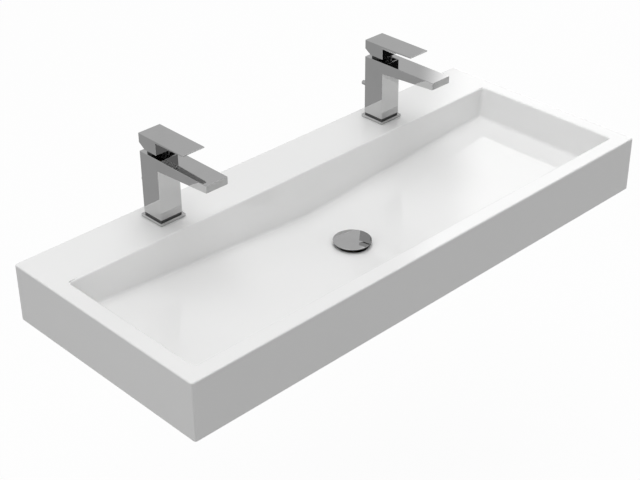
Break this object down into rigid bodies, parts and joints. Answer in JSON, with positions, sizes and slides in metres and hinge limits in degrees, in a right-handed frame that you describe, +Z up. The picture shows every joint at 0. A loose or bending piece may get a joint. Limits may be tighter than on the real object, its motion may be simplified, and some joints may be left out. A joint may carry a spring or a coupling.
{
  "type": "double washbasin",
  "caption": "Long rectangular ceramic trough basin with a tap deck, a shallow V floor to one drain under a lifting cap, and square single-lever mixers with pull knobs.",
  "frame": {"origin": "middle of the wall bolt holes, in the plane of the back face", "axes": "+X along the basin, to the right seen from the front; +Y into the wall; +Z up"},
  "size_m": [1.2, 0.5, 0.3825],
  "materials": {
    "glazed_ceramic": "glossy white glaze",
    "chrome": "polished chrome plate",
    "brass": "machined",
    "steel": "drawn stainless",
    "copper": "drawn copper tube",
    "black_rubber": "moulded",
    "grey_plastic": "moulded",
    "white_plastic": "moulded"
  },
  "bodies": {
    "root": {"basin": "glazed_ceramic", "waste_flange": "chrome", "flange_gasket": "white_plastic", "under_washer": "black_rubber", "backnut": "brass", "waste_tail": "chrome", "stem_guide": "white_plastic", "ball_seal": "black_rubber", "pivot_nut": "chrome", "left_tap_body": "chrome", "left_base_plate": "chrome", "left_foot_seal": "black_rubber", "left_deck_seal": "black_rubber", "left_aerator_housing": "chrome", "left_aerator_insert": "white_plastic", "left_cartridge": "grey_plastic", "left_ring_nut": "brass", "left_collar": "chrome", "left_shank": "brass", "left_rubber_washer": "black_rubber", "left_steel_washer": "steel", "left_lock_nut": "brass", "left_supply_tails": "copper", "right_tap_body": "chrome", "right_base_plate": "chrome", "right_foot_seal": "black_rubber", "right_deck_seal": "black_rubber", "right_aerator_housing": "chrome", "right_aerator_insert": "white_plastic", "right_cartridge": "grey_plastic", "right_ring_nut": "brass", "right_collar": "chrome", "right_shank": "brass", "right_rubber_washer": "black_rubber", "right_steel_washer": "steel", "right_lock_nut": "brass", "right_supply_tails": "copper"},
    "plug": {"plug_cap": "chrome", "cap_skirt": "black_rubber", "plug_seal": "black_rubber", "plug_stem": "brass"},
    "plug_lever": {"pivot_rod": "steel"},
    "left_turning_carrier": {"left_carrier": "white_plastic", "left_pivot_pin": "steel"},
    "left_handle": {"left_spindle": "brass", "left_lever": "chrome", "left_grub_screw": "steel", "left_screw_plug": "grey_plastic"},
    "left_pull": {"left_pull_knob": "chrome", "left_lift_rod": "steel"},
    "right_turning_carrier": {"right_carrier": "white_plastic", "right_pivot_pin": "steel"},
    "right_handle": {"right_spindle": "brass", "right_lever": "chrome", "right_grub_screw": "steel", "right_screw_plug": "grey_plastic"},
    "right_pull": {"right_pull_knob": "chrome", "right_lift_rod": "steel"}
  },
  "joints": [
    {"name": "left_lever_turn", "type": "hinge", "parent": "root", "child": "left_turning_carrier", "pos_m": [-0.3, -0.057, 0.2], "axis": [0, 0, 1], "range_deg": [-45, 45]},
    {"name": "left_lever_lift", "type": "hinge", "parent": "left_turning_carrier", "child": "left_handle", "pos_m": [-0.3, -0.057, 0.2], "axis": [-1, 0, 0], "range_deg": [0, 25]},
    {"name": "left_knob_pull", "type": "slide", "parent": "root", "child": "left_pull", "axis": [0, 0, 1], "range_m": [0, 0.016]},
    {"name": "right_lever_turn", "type": "hinge", "parent": "root", "child": "right_turning_carrier", "pos_m": [0.3, -0.057, 0.2], "axis": [0, 0, 1], "range_deg": [-45, 45]},
    {"name": "right_lever_lift", "type": "hinge", "parent": "right_turning_carrier", "child": "right_handle", "pos_m": [0.3, -0.057, 0.2], "axis": [-1, 0, 0], "range_deg": [0, 25]},
    {"name": "right_knob_pull", "type": "slide", "parent": "root", "child": "right_pull", "axis": [0, 0, 1], "range_m": [0, 0.016]},
    {"name": "plug_lift", "type": "slide", "parent": "root", "child": "plug", "axis": [0, 0, 1], "range_m": [-0.005, 0]},
    {"name": "pivot_rod_tilt", "type": "hinge", "parent": "root", "child": "plug_lever", "pos_m": [0, -0.241, -0.104], "axis": [1, 0, 0], "range_deg": [0, 11]}
  ],
  "couplings": [
    {"joint": "plug_lift", "follows": "left_knob_pull", "ratio": -0.3125},
    {"joint": "pivot_rod_tilt", "follows": "left_knob_pull", "rad_per_m": 11.982}
  ]
}
